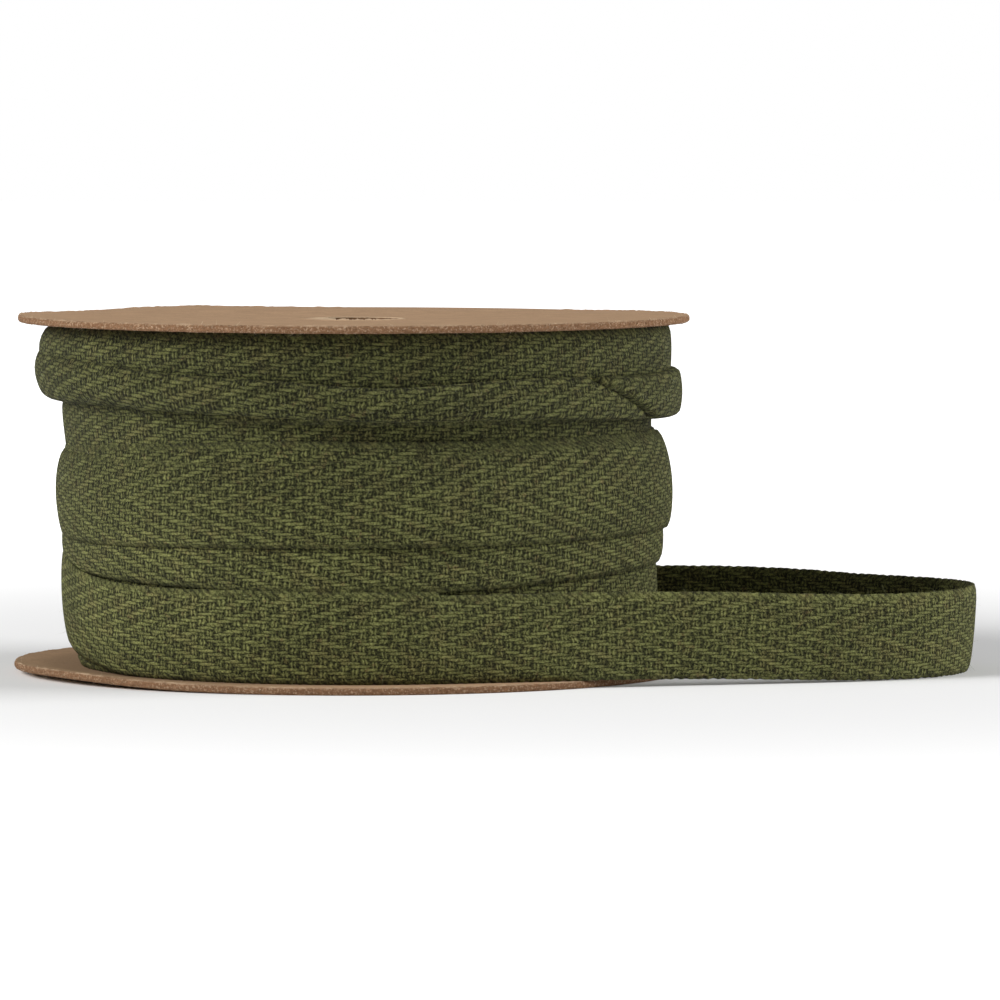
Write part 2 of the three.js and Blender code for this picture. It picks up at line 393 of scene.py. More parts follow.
def herringbone_cotton():
    """Cotton tape in herringbone twill, drawn on the weave map, whose first number counts picks
    along the tape and whose second counts ends across it.

    An end floats over two picks and under two, one pick later at each end away from the middle,
    so the floats make chevrons. Each pick is a pair of yarns. The crown of a yarn is a parabola
    across it, and its rise and dip is a sine along it; the higher of end and pick shows. Both
    selvedges are slanting stitches, the root of a raised sine along the tape. Fibre, ply, lint
    and frizz are noise and a sine, stretched along each yarn where they belong to it.
    """
    tape = bpy.context.scene.tape
    material, wire, place = new_material("herringbone_cotton")
    weave = wire.node("ShaderNodeUVMap", {"uv_map": "weave"})
    along, across, _ = weave.parts()

    # The weave wanders a little both ways, so that no two floats are alike
    drift = weave.noise(0.22, 1.0) - 0.5
    waver = place.noise(900, 1.0) - 0.5
    lean = place.noise(500, 1.0) - 0.5
    kink = place.noise(2400, 1.0) - 0.5
    along = along + drift * 0.9 + waver * 0.42 + kink * 0.35
    across = across + drift * 0.5 + lean * 0.55 - kink * 0.6

    # Ends, counted outwards from the middle of the tape
    half = tape.ends / 2
    out = (across - half).absolute()
    below = across.sum("LESS_THAN", half)
    end = out.floor()
    stagger = below * 2.0
    float_phase = (along - end - stagger) * (math.pi / 2)
    end_share = (out.fract() - 0.5) * 2.45
    end_crown = (1.0 - end_share * end_share).clamped()
    end_height = end_crown * 0.54 + float_phase.sine() * 0.52 + 0.09

    # Picks, two yarns to each, which lie a little lower than the ends
    pick = along.floor()
    pair = ((along.fract() - 0.13) / 0.74).clamped() * 2.0
    pair_share = (pair.fract() - 0.5) * 3.0
    pair_crown = (1.0 - pair_share * pair_share).clamped()
    pick_phase = (pick - out - stagger + 1.0) * (math.pi / 2)
    pick_height = pair_crown * 0.56 - pick_phase.sine() * 0.56 - 0.10

    higher = end_height.sum("SMOOTH_MAX", pick_height, 0.05)
    is_pick = (pick_height - end_height).eased(-0.06, 0.06)

    # Stitches of the two selvedges
    upper_edge = across.eased(tape.ends - 2.4, tape.ends - 1.6)
    lower_edge = across.eased(1.5, 0.8)
    edge_chance = (along.floor() + across.floor() * 7.0).chance(5.0)
    relief = higher
    for edge, slant, base in ((upper_edge, 0.42, 0.22), (lower_edge, 0.25, 0.15)):
        stitch = (((along + across * slant) * (2 * math.pi)).sine() * 0.5 + 0.5) ** 0.5
        stitch = stitch * 0.42 + edge_chance * 0.30 + base
        relief = relief * (1.0 - edge) + stitch * edge

    # Fibre along each yarn, the twist of its plies, and fuzz over all
    end_fibre = (along * 3.0 + out.fract() * 1.5).pair(across * 5.5).noise(1.9, 2.0, 0.6)
    pick_fibre = (along * 13.0).pair(across * 1.6 + pair.fract() * 1.5).noise(1.9, 2.0, 0.6)
    fibre = end_fibre * (1.0 - is_pick) + pick_fibre * is_pick
    fibre = fibre.eased(0.36, 0.66) - 0.5
    ply = ((along * 2.6 + out.fract() * 0.9) * (2 * math.pi)).sine() * (1.0 - is_pick)
    lint = place.noise(7000, 2.0, 0.7) - 0.5
    frizz = place.noise(3600, 3.0, 0.8).eased(0.38, 0.64) - 0.5

    # Each float takes the dye a little differently; painted shade darkens the tape upwards towards
    # the upper board, where its shadow falls, and lightens it low on the spool
    end_tint = (end + below * 40.0).chance(((along - end - stagger) * 0.25).floor()) - 0.5
    pick_tint = (pick + below * 0.5).chance(((out + stagger - pick) * 0.25).floor()) - 0.5
    blotch = place.noise(170, 2.0) - 0.5
    tint = end_tint * 0.40 * (1.0 - is_pick) + pick_tint * 0.50 * is_pick + blotch * 0.45
    board_shade = place.parts()[2].eased(*BOARD_SHADE_FADE)
    brightness = 1.0 + tint + fibre * 1.10 + ply * 0.12 + lint * 1.6 + frizz * 0.85
    brightness = brightness.sum("MAXIMUM", 0.10) * board_shade

    # Painted shade and highlight: a yarn is darkened where it dives under another and between the
    # yarns, where shade falls, and made pale on its crown as a painted highlight
    dive_shade = (along.fract() - 0.5).absolute().eased(0.30, 0.48)
    dive_shade = dive_shade * (1.0 - float_phase.sine().absolute() * 1.4).clamped()
    crown = relief.eased(-0.20, 1.02) ** 1.65 * (1.0 - dive_shade * 0.6)
    colour = crown.blend(tuple(tape.dark), tuple(tape.light))
    warm_patch = place.noise(420, 1.0).eased(0.45, 0.75)
    warm_fleck = place.noise(1300, 1.0).eased(0.67, 0.74)
    warm = warm_patch * 0.3 + warm_fleck * 0.6
    colour = warm.blend(colour, crown.blend(tuple(tape.dark), WARM_YARN))
    colour = brightness.shaded(colour)

    depth = relief * 0.58 + fibre * 0.16 + ply * 0.04 + lint * 0.3 + frizz * 0.16
    close_material(wire, {
        "Base Color": colour, "Roughness": 0.95 - crown * 0.10,
        "Normal": depth.bump(YARN_RELIEF), "Specular IOR Level": 0.10,
        "Sheen Weight": 0.03, "Sheen Roughness": 0.5})
    return material


def kraft_board():
    """Kraft board: a calendered face with fine mottling, a punched edge of torn layers and pale
    fibre where the punch lifted it. The marks raw and torn say where those are, and the third mark
    says where painted contact shade darkens the lower board's face beside the winding, towards the
    tape's gap colour."""
    board, tape = bpy.context.scene.board, bpy.context.scene.tape
    material, wire, place = new_material("kraft_board")
    raw, torn, painted_contact_shade = [wire.mark(name) for name in ("raw", "torn", "painted_contact_shade")]
    stretch = wire.node("ShaderNodeMapping", None, {"Vector": place, "Scale": (1.0, 1.0, 7.0)})

    # Torn layers lie along the edge; mottle, fibre and pale specks are even all round
    layers = stretch.noise(1900, 4.0, 0.75) - 0.5
    mottle = place.noise(420, 4.0, 0.6) - 0.5
    fibre = place.noise(3200, 4.0, 0.7) - 0.5
    pale = place.noise(4200, 3.0, 0.7).eased(0.50, 0.66)

    face = (1.0 + mottle * 0.45 + fibre * 0.8).shaded(tuple(board.face))
    edge = (1.0 + layers * 1.7 + fibre * 1.6).shaded(tuple(board.raw))
    edge = (pale * 0.55).blend(edge, tuple(board.torn))
    # Painted contact shade: the lower board's face darkens towards the tape's gap colour beside the
    # winding
    face = (painted_contact_shade * (0.75 + mottle * 1.5)).clamped().blend(face, tuple(tape.dark))
    lifted = (1.0 + fibre * 0.9 + mottle * 0.3).shaded(tuple(board.torn))
    colour = torn.blend(raw.blend(face, edge), lifted)

    depth = fibre * (0.35 + raw * 0.9) + layers * raw * 1.2 + mottle * 0.25
    close_material(wire, {
        "Base Color": colour, "Roughness": 0.90 + raw * 0.08,
        "Normal": depth.bump(BOARD_RELIEF), "Specular IOR Level": 0.06})
    return material


def lint_material(name, colour):
    """Loose fibres: a plain fibre colour with a little chance along it."""
    material, wire, place = new_material(name)
    shade = (0.7 + place.noise(700, 1.0) * 0.6).shaded(colour)
    close_material(wire, {
        "Base Color": shade, "Roughness": 0.9, "Specular IOR Level": 0.2, "Sheen Weight": 0.2})
    return material


def finish_piece(piece, slot, *nodes, material=None):
    """Gives a piece its material, which is its slot's unless another is given, and its body, and
    hides the imported nodes that it stands for. A slot's material is made on first use."""
    make = {"tape": herringbone_cotton, "board": kraft_board}[slot]
    piece.data.materials.append(material or bpy.data.materials.get(make.__name__) or make())
    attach(piece, "root")
    if nodes:
        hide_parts(*nodes)
    return piece


# Tape

# Height of the swelling that each pick makes in the tape's edges, and thickness of the very edge
# as a share of the tape's
EDGE_SWELL = 0.035
EDGE_SHARE = 0.3


def tape_body(name, middle, closed, ends_across=None):
    """A tape's closed body about its middle surface (U, T, 3), which runs along the tape and up
    from its lower edge. Both faces lie half a thickness from the middle along its normal, less
    towards the edges by the root of one minus the sixth power of the place across, which rounds
    them. The edges swell by three cosines of the picks, of one, three quarters and a quarter wave
    a pick, as a woven edge does. ends_across gives the place of each point across the weave where
    the body shows less than the tape's whole width."""
    tape = bpy.context.scene.tape
    steps, rows = middle.shape[:2]
    share = np.linspace(0, 1, rows)
    line = middle[:, rows // 2]
    route = np.concatenate([line, line[:1]]) if closed else line
    length = np.concatenate([[0], np.cumsum(np.linalg.norm(np.diff(route, axis=0), axis=1))])
    picks = length * MM / tape.pick
    if closed:
        picks *= 4 * round(picks[-1] / 4) / picks[-1]
        padded = np.concatenate([middle[-1:], middle, middle[:1]])
        along = (padded[2:] - padded[:-2]) / 2
    else:
        along = np.gradient(middle, axis=0)
    up = unit(np.gradient(middle, axis=1))
    edge = np.abs(2 * share - 1) ** 10 * np.sign(2 * share - 1)
    turn = 2 * np.pi * picks[:steps]
    slower = np.cos(0.75 * turn + 1) + np.cos(0.25 * turn + 2)
    swell = EDGE_SWELL * (np.cos(turn) + 0.6 * slower)
    middle = middle + up * (swell[:, None] * edge[None, :])[..., None]
    normal = unit(np.cross(along, up))
    rounded = np.sqrt(1 - np.abs(2 * share - 1) ** 6)
    half = tape.thickness / MM / 2 * (EDGE_SHARE + (1 - EDGE_SHARE) * rounded)
    lift = normal * half[None, :, None]
    loop = np.concatenate([middle + lift, (middle - lift)[:, ::-1]], axis=1)
    ends = (share * tape.ends)[None, :] + 0 * picks[:, None] if ends_across is None else ends_across
    ends = np.concatenate([ends, ends[:1]]) if len(ends) < len(picks) else ends
    across = np.concatenate([ends, ends[:, ::-1], ends[:, :1]], axis=1)
    uv = np.stack(np.broadcast_arrays(picks[:, None], across), axis=-1)
    piece = mesh_from_grid(name, loop, close_i=closed, close_j=True, caps=not closed, uv=uv)
    return piece, length[-1] * MM


def declare_tape(piece, length, held, rests_on, *nodes):
    finish_piece(piece, "tape", *nodes)


def middle_radius(share, radii):
    """Radius of the tape's middle at shares of its width: the cubic through four radii of its
    outer face, at shares 0, 1/3, 2/3 and 1, less half its thickness."""
    nodes = np.array([0, 1 / 3, 2 / 3, 1])
    total = 0
    for k, radius in enumerate(radii):
        others = np.delete(nodes, k)
        weight = np.prod([(share - other) / (nodes[k] - other) for other in others], axis=0)
        total = total + weight * radius[:, None]
    return total - bpy.context.scene.tape.thickness / MM / 2


# Turns that go straight round, from the innermost out: heights of the lower and upper edge, and
# radii of the outer face at the foot, a third up, two thirds up and the top. Each line of four
# holds the values at the left, front, right and back.
ROUND_TURNS = {
    "foot_turn": [
        (0.9, 0.9, 0.9, 0.9), (10.8, 10.8, 10.8, 10.8), (31.3, 31.6, 32.1, 31.9),
        (31.6, 31.8, 32.3, 32.1), (31.7, 31.8, 32.3, 32.1), (31.6, 31.7, 32.2, 32.0)],
    "bed_turn": [
        (2.6, 1.7, 3.0, 3.4), (12.4, 11.6, 13.1, 13.4), (31.9, 32.2, 33.0, 32.5),
        (32.2, 32.5, 33.35, 32.8), (32.3, 32.5, 33.4, 32.8), (32.0, 32.4, 33.2, 32.7)],
    "recess_turn": [
        (20.5, 21.2, 20.6, 21.0), (30.5, 31.1, 30.5, 31.0), (32.2, 32.2, 32.4, 32.3),
        (32.5, 32.5, 32.6, 32.6), (32.9, 32.7, 32.65, 32.8), (33.2, 32.8, 32.7, 32.9)],
    "lower_turn": [
        (11.6, 10.75, 12.4, 13.0), (21.4, 20.8, 22.3, 22.9), (32.3, 33.3, 33.85, 33.2),
        (33.1, 33.4, 34.05, 33.3), (32.7, 33.2, 33.7, 33.1), (32.4, 32.9, 33.2, 32.8)],
    "second_turn": [
        (15.9, 17.2, 17.2, 16.9), (25.75, 27.1, 27.1, 26.8), (32.5, 33.0, 33.3, 33.0),
        (32.9, 33.4, 33.6, 33.3), (33.0, 33.6, 33.7, 33.5), (32.85, 33.15, 33.2, 33.2)],
    "upper_turn": [
        (28.9, 28.8, 28.8, 28.8), (38.85, 38.8, 38.8, 38.8), (32.6, 33.0, 33.8, 32.8),
        (34.2, 34.0, 34.6, 34.2), (35.6, 34.6, 34.9, 34.8), (34.5, 34.2, 34.8, 34.3)],
}
# Points round a turn and across it, and unevenness of its radius and of its edges
TURN_STEPS = 760
TURN_ROWS = 15
TURN_WOBBLE = 0.07
EDGE_WOBBLE = 0.10


def round_turn(name, stations, seed):
    """A turn that meets itself: height and radius are eased round the axis from the stations, the
    radius follows a cubic across the tape, and both waver a little."""
    angle = full_turn(TURN_STEPS)
    share = np.linspace(0, 1, TURN_ROWS)[None, :]
    low, high, *radii = [around(row, angle) for row in stations]
    low = low + EDGE_WOBBLE * wobble(angle, seed)
    high = high + EDGE_WOBBLE * wobble(angle, seed + 1)
    radius = middle_radius(share, radii) + TURN_WOBBLE * wobble(angle, seed + 2)[:, None]
    height = low[:, None] + (high - low)[:, None] * share
    middle = on_round(radius, angle[:, None], height, WINDING_AXIS)
    return tape_body(name, middle, closed=True)


# The turn that is rolled lengthwise: edges and outer face as in the table above, with a fold at
# its foot, whose radius changes round the axis, its upper edge tucked in, and a leaf inside
FOLDED_TURN = [
    (30.95, 30.1, 28.9, 30.2), (35.75, 33.45, 33.6, 34.5), (35.1, 35.6, 35.2, 35.2),
    (35.85, 36.0, 35.5, 35.7), (36.1, 36.0, 35.5, 35.8), (35.7, 35.5, 35.25, 35.5)]
FOLD_RADII = (0.85, 0.45, 0.36, 0.5)
# Radius of the fold over the ridge, and runs of the tucked edge and of the leaf inside
TUCK_RADIUS = 0.20
TUCK = 0.15
INNER_LEAF = 0.9
FOLDED_STEPS = 900
FOLDED_ROWS = 35
# Unevenness of the ridge
RIDGE_WOBBLE = 0.18
# Dip of the rolled turn's foot and ridge at the front
DIP = {"angle": 7, "width": 17, "foot": 0.5, "ridge": 0.9}
# Hollow pressed into the foot of the rolled turn at the left
DIMPLE = {"angle": -50, "width": 9, "height": 30.6, "tall": 0.7, "depth": 0.7}
# Twist at the right: the flap beyond a crease that falls to the right stands proud of the rest
TWIST = {"angle": 60, "height": 30.8, "fall": 0.215, "lowest": 28.6, "step": 0.62,
         "step_from": -0.05, "step_to": 0.35, "groove": 0.65, "groove_below": -0.2,
         "groove_width": 0.3, "from": 36, "full": 44, "to": 74, "groove_end": 80, "fades": 84,
         "end": 128}


def twist_step(angle, height):
    """Rise of the outer leaf by the twist: a sharp step up across the slanting crease with a
    groove at its foot, dying away behind the spool."""
    line = TWIST["height"] - TWIST["fall"] * (angle - TWIST["angle"])
    line = np.maximum(line, TWIST["lowest"])
    beyond = height - line
    begun = ease(angle, TWIST["from"], TWIST["full"])
    ended = 1 - ease(angle, TWIST["fades"], TWIST["end"])
    near = 1 - ease(angle, TWIST["to"], TWIST["groove_end"])
    step = TWIST["step"] * ease(beyond, TWIST["step_from"], TWIST["step_to"]) * begun * ended
    groove = bell(beyond, TWIST["groove_below"], TWIST["groove_width"])
    groove = TWIST["groove"] * groove * begun * near
    return step - groove


def folded_turn():
    """The rolled turn, by the run across it from the tucked edge: up the tuck, over a half circle
    at the top, down the outer leaf, round a half circle at the foot and up the inner leaf. The
    outer leaf also has the step of the twist, and a dent that is a bell curve both ways."""
    angle = full_turn(FOLDED_STEPS)
    low, high, *radii = [around(row, angle) for row in FOLDED_TURN]
    low = low + EDGE_WOBBLE * wobble(angle, 40)
    high = high + RIDGE_WOBBLE * wobble(angle, 41, (3, 14))
    dip = bell(angle, DIP["angle"], DIP["width"])
    low, high = (low - DIP["foot"] * dip)[:, None], (high - DIP["ridge"] * dip)[:, None]
    bend = around(FOLD_RADII, angle)[:, None]
    leaf = high - low - bend - TUCK_RADIUS
    over, under = np.pi * TUCK_RADIUS, np.pi * bend
    total = TUCK + over + leaf + under + INNER_LEAF
    run = np.linspace(1, 0, FOLDED_ROWS)[None, :] * total
    tuck = np.maximum(TUCK - run, 0)
    top_turn = np.clip((run - TUCK) / TUCK_RADIUS, 0, np.pi)
    down = np.clip(run - TUCK - over, 0, leaf)
    foot_turn = np.clip((run - TUCK - over - leaf) / bend, 0, np.pi)
    inner = np.maximum(run - total + INNER_LEAF, 0)
    height = (
        high - TUCK_RADIUS + TUCK_RADIUS * np.sin(top_turn) - tuck - down
        - bend * np.sin(foot_turn) + inner
    )
    depth = TUCK_RADIUS * (1 + np.cos(top_turn)) + bend * (1 - np.cos(foot_turn))
    level = np.clip((height - low) / (high - low), 0, 1)
    radius = middle_radius(level, radii) - depth
    outside = (top_turn / np.pi) * (1 - foot_turn / np.pi)
    radius = radius + twist_step(angle[:, None], height) * outside
    radius = radius + TURN_WOBBLE * wobble(angle, 42)[:, None]
    dent = bell(angle[:, None], DIMPLE["angle"], DIMPLE["width"])
    dent = dent * bell(height, DIMPLE["height"], DIMPLE["tall"])
    radius = radius - DIMPLE["depth"] * outside * dent
    middle = on_round(radius, angle[:, None], height, WINDING_AXIS)
    tape = bpy.context.scene.tape
    ends_across = run * MM / tape.width * tape.ends
    return tape_body("folded_turn", middle, closed=True, ends_across=ends_across)


# The outer turn and the last turn are one stretch of tape. A row for each place on it: the angle
# that it has wound through, heights of its edges and radii of its outer face.
LAST_TURNS = np.array([
    # angle   low    high   foot   lower  upper  top
    (-255.0, 16.60, 26.40, 33.00, 33.40, 33.40, 33.00),
    (-180.0, 15.90, 25.50, 33.10, 33.50, 33.50, 33.10),
    (-90.0, 15.10, 24.90, 33.05, 33.65, 33.75, 33.10),
    (-60.0, 15.20, 24.85, 33.70, 34.10, 33.95, 33.20),
    (0.0, 15.70, 25.60, 34.10, 34.40, 34.20, 33.50),
    (37.0, 15.80, 26.40, 34.25, 34.65, 34.50, 33.40),
    (90.0, 16.35, 26.90, 34.75, 35.05, 34.75, 33.65),
    (135.0, 13.80, 24.30, 34.30, 34.65, 34.60, 33.70),
    (180.0, 10.10, 20.40, 34.00, 34.30, 34.40, 34.20),
    (225.0, 6.40, 16.80, 33.50, 33.80, 34.10, 34.20),
    (270.0, 3.60, 14.00, 32.40, 33.00, 33.20, 33.10),
    (296.0, 1.80, 11.60, 32.60, 33.20, 33.30, 33.10),
    (312.0, 1.00, 10.95, 32.90, 33.35, 33.40, 33.20),
    (340.0, 0.85, 10.90, 33.10, 33.40, 33.40, 33.25),
    (376.0, 0.85, 10.90, 33.30, 33.40, 33.40, 33.30),
])
# Route of the loose end from where it leaves the winding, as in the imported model: places from
# the spool's axis to the right and away from the front, height of the foot, and outward lean.
LOOSE_ROUTE = np.array([
    # x      y      foot  lean
    (26.4, -26.7, 0.85, 0.2),
    (37.9, -23.3, 0.75, 0.6),
    (49.5, -20.2, 0.40, 1.2),
    (57.5, -17.0, 0.15, 1.2),
    (63.7, -12.6, 0.08, 1.0),
    (67.5, -6.6, 0.08, 0.7),
    (68.9, 0.6, 0.08, 0.6),
    (67.6, 7.4, 0.08, 0.7),
    (63.6, 13.0, 0.08, 0.8),
    (57.6, 18.4, 0.08, 0.8),
    (50.6, 24.4, 0.25, 0.8),
    (43.0, 29.0, 0.30, 0.6),
    (34.6, 31.8, 0.20, 0.4),
    (26.0, 35.0, 0.08, 0.2),
    (17.0, 38.2, 0.08, 0.2),
    (8.0, 40.2, 0.08, 0.2),
])
# Distance between points along this stretch, and points across it
STEP_ALONG = 0.27
LAST_ROWS = 17
# About the radius of the winding, which turns a step along the tape into an angle
WOUND_RADIUS = 33
# Height of the lower edge where the tape leaves the winding
LEAVING_HEIGHT = 0.85
# Angles wound through between which the turns' unevenness dies away
CALM_FROM, CALM_TO = 330, 376
# The loose end: outward cup, height of its slow waves, and millimetres in a radian of them
CUP = 0.15
WAVE = 0.16
WAVE_LENGTH = 5.1
# Run along the loose end between which it frees itself from the winding's round
FREE_BETWEEN = (10, 40)
# Fall of the loose end's upper edge below the tape's full width
LOOSE_FALL = 0.42


def natural_spline(x, keys, values):
    """Curve of even bending through keyed values: cubic pieces with the same slope and the same
    second derivative on both sides of each key, and none at the ends."""
    step, rise, i = spans(x, keys, values)
    count = len(keys)
    system, right = np.eye(count), np.zeros(count)
    for k in range(1, count - 1):
        system[k, k - 1 : k + 2] = step[k - 1], 2 * (step[k - 1] + step[k]), step[k]
        right[k] = 6 * (rise[k] - rise[k - 1])
    bend = np.linalg.solve(system, right)
    before, after = x - keys[i], keys[i + 1] - x
    return (
        (bend[i] * after**3 + bend[i + 1] * before**3) / (6 * step[i])
        + (values[i] / step[i] - bend[i] * step[i] / 6) * after
        + (values[i + 1] / step[i] - bend[i + 1] * step[i] / 6) * before
    )


def last_turns():
    """Middle surface of the last two turns: edges and radii keyed by the angle wound through."""
    keys = LAST_TURNS[:, 0]
    angle = np.arange(keys[0], keys[-1], np.degrees(STEP_ALONG / WOUND_RADIUS))
    share = np.linspace(0, 1, LAST_ROWS)[None, :]
    calm = 1 - ease(angle, CALM_FROM, CALM_TO)
    low, high, *radii = [keyed(angle, keys, column) for column in LAST_TURNS.T[1:]]
    low = low + EDGE_WOBBLE * wobble(angle, 60) * calm * ease(low, 0.8, 1.4)
    high = high + EDGE_WOBBLE * wobble(angle, 61) * calm
    radius = middle_radius(share, radii) + (TURN_WOBBLE * wobble(angle, 62) * calm)[:, None]
    height = low[:, None] + (high - low)[:, None] * share
    return on_round(radius, angle[:, None], height, WINDING_AXIS)


def loose_end(leaving):
    """Middle surface of the loose end: a natural spline through the route from where the tape
    leaves the winding, standing on its lower edge, leaning and a little cupped outwards."""
    width = bpy.context.scene.tape.width / MM
    start = [leaving[:2].tolist() + [LEAVING_HEIGHT, 0.0]]
    route = np.concatenate([start, LOOSE_ROUTE + [*AXIS, 0, 0]])
    chords = np.linalg.norm(np.diff(route[:, :2], axis=0), axis=1)
    keys = np.concatenate([[0], np.cumsum(chords)])
    run = np.arange(STEP_ALONG, keys[-1], STEP_ALONG)
    x, y = [natural_spline(run, keys, route[:, k]) for k in (0, 1)]
    foot, lean = [keyed(run, keys, route[:, k]) for k in (2, 3)]
    tangent = unit(np.stack([np.gradient(x), np.gradient(y)], 1))
    outward = np.stack([tangent[:, 1], -tangent[:, 0]], 1)[:, None, :]
    share = np.linspace(0, 1, LAST_ROWS)[None, :]
    free = ease(run, *FREE_BETWEEN)[:, None]
    cup = CUP * free * 4 * share * (1 - share)
    wave = WAVE * free * np.sin(run / WAVE_LENGTH)[:, None] * (share - 0.3)
    out = lean[:, None] * (share - 0.5) + cup + wave
    top = foot + np.sqrt(width**2 - lean**2) - LOOSE_FALL
    height = foot[:, None] + (top - foot)[:, None] * share
    place = np.stack([x, y], 1)[:, None, :] + outward * out[..., None]
    return np.concatenate([place, height[..., None]], axis=2)


def loose_tape():
    """The last two turns and the loose end, one stretch of tape."""
    wound = last_turns()
    free = loose_end(wound[-1, LAST_ROWS // 2])
    return tape_body("last_turn_tape", np.concatenate([wound, free]), closed=False)


# Inside of the winding: a closed ring from the bore to just under the turns, in rows of height
# and radius from the bottom up
CORE_SECTION = [
    (0.95, 31.0), (1.6, 31.4), (12.0, 31.6), (30.0, 31.9), (33.0, 32.4), (38.0, 33.4),
    (38.3, 33.0)]
CORE_BORE = 5.35
CORE_STEPS = 180


def wound_core():
    """Turned ring whose outer side follows the table and whose inner side is the bore."""
    heights, radii = np.array(CORE_SECTION).T
    height = np.concatenate([heights, heights[::-1]])
    radius = np.concatenate([radii, np.full(len(radii), CORE_BORE)])
    angle = full_turn(CORE_STEPS)[:, None]
    points = on_round(radius + 0 * angle, angle, height[None, :], WINDING_AXIS)
    picks = np.arange(CORE_STEPS + 1)[:, None]
    across = np.linspace(0, bpy.context.scene.tape.ends, len(height) + 1)[None, :]
    uv = np.stack(np.broadcast_arrays(picks, across), axis=-1)
    return mesh_from_grid("wound_core", points, close_i=True, close_j=True, uv=uv)


# Boards

# Points round a board, across its punched edge and down its hole, and radii of those on its faces
BOARD_STEPS = 960
EDGE_LAYERS = 7
HOLE_LAYERS = 4
FACE_RADII = (5.25, 5.5, 6.2, 8.0, 12.0, 18.0, 24.0, 30.0, 33.0, 35.0, 36.4, 36.9, 37.1, 37.22)
# Radius past which a rim lifts
RIM_FREE_FROM = 31
# Rise of the rim at the left, front, right and back
LOWER_RIM = (0.45, 0, 0, 0.1)
UPPER_RIM = (0.2, 0, 0.15, -0.1)
# Waves of the rims besides: angle, width and rise
LOWER_WAVES = [(-55, 20, 0.33)]
UPPER_WAVES = [(152, 30, -0.30), (-148, 14, 0.15), (-120, 16, -0.2)]
# Sag of the upper board towards its hole and unevenness of its face, each between two radii
DISH = 0.40
DISH_BETWEEN = (7, 33)
FACE_WOBBLE = 0.05
FACE_WOBBLE_BETWEEN = (12, 37)
# Unevenness of the punched edge: its torn layers, its whole round, the wear of its two corners,
# and the width of the lip that the punch raised
LAYER_DEPTH = 0.04
BODY_DEPTH = 0.03
CORNER_DEPTH = 0.20
LIP_WIDTH = 0.2
# Distances in from the rim between which the colour turns to that of the punched edge
RAW_FROM, RAW_FULL = 0.40, 0.22
# Share of painted contact shade on the lower board's face beside the winding, towards the tape's
# gap colour, falling off between two radii
CONTACT_SHADE_SHARE = 0.4
CONTACT_SHADE_BETWEEN = (31.8, 35.5)


def ragged(angle, seed, fine=260):
    """Ragged height round a torn edge, 0 to about 1: the positive part of many fine waves."""
    coarse = wobble(angle, seed, (12, 60))
    sharp = wobble(angle, seed + 1, (60, fine))
    return np.clip(0.45 + 0.45 * coarse + 0.45 * sharp, 0, 1.3)


def board_cheek(name, level, axis, rim, waves, seed):
    """A punched disc: a closed section of underside, punched edge, face and hole wall, turned
    about the axis. The rim lifts by the four stations and by bell-shaped waves, and the upper
    board sags to its hole by a soft step of the radius. The edge is uneven by layers, and the
    punch leaves a ragged lip on the face's rim, and a smaller one under it."""
    board = bpy.context.scene.board
    thick, burr = board.thickness / MM, board.burr / MM
    rim_radius = BOARD_RADIUS / MM
    angle = full_turn(BOARD_STEPS)[:, None]
    radii = np.array([FACE_RADII])
    edge_share = np.linspace(0.06, 0.94, EDGE_LAYERS)[None, :]
    inner_share = np.linspace(0.9, 0.1, HOLE_LAYERS)[None, :]
    edge_radius = np.full_like(edge_share, rim_radius)
    inner = np.full_like(inner_share, HOLE_RADIUS)
    # 1 for the upper board, which sags and swells, and 0 for the lower one, which lies flat
    raised = level > 1

    radius = np.concatenate([radii, edge_radius, radii[:, ::-1], inner], axis=1) + 0 * angle
    share = np.concatenate([0 * radii, edge_share, 0 * radii + 1, inner_share], axis=1) + 0 * angle
    layer = [wobble(angle, seed + k, (30, 240)) for k in range(EDGE_LAYERS)]
    layer = np.concatenate(layer, axis=1)
    body = wobble(angle, seed + 20, (2, 9))
    edge = slice(len(FACE_RADII), len(FACE_RADII) + EDGE_LAYERS)
    corner = np.abs(2 * edge_share - 1) ** 3
    radius[:, edge] += LAYER_DEPTH * layer + BODY_DEPTH * (body - 1) - CORNER_DEPTH * corner
    near_rim = bell(radius, rim_radius - LIP_WIDTH, LIP_WIDTH)
    lip = ragged(angle, seed + 30) * burr
    under_lip = ragged(angle, seed + 33) * burr * 0.5
    wave = sum(rise * ring_bell(angle, place, width) for place, width, rise in waves)
    lift = (around(rim, angle) + wave) * ease(radius, RIM_FREE_FROM, rim_radius)
    dish = DISH * (1 - ease(radius, *DISH_BETWEEN)) * raised
    height = level + share * thick + lift - dish
    height = height + near_rim * np.where(share > 0.5, lip * share, 0)
    height = height - near_rim * np.where(share < 0.5, under_lip * (1 - share), 0) * raised
    swell = FACE_WOBBLE * wobble(angle, seed + 40, (2, 7)) * ease(radius, *FACE_WOBBLE_BETWEEN)
    height = height + swell * (share > 0.5) * raised
    points = on_round(radius, angle, height, axis)
    raw = ease(radius, rim_radius - RAW_FROM, rim_radius - RAW_FULL)
    raw = raw + (radius < HOLE_RADIUS + 0.05)
    torn = near_rim * (share > 0.85) * np.clip(lip / burr, 0, 1) * 0.85
    # Painted contact shade on the lower board's face beside the winding
    painted_contact_shade = (share > 0.5) * (1 - ease(radius, *CONTACT_SHADE_BETWEEN)) * (1 - raised) * CONTACT_SHADE_SHARE
    marks = {"raw": np.clip(raw, 0, 1), "torn": torn, "painted_contact_shade": painted_contact_shade}
    return mesh_from_grid(name, points, close_i=True, marks=marks)


# Points round the torn paper and from its foot to its tip, and its thickness
TEAR_STEPS = 420
TEAR_ROWS = 7
PAPER = 0.11
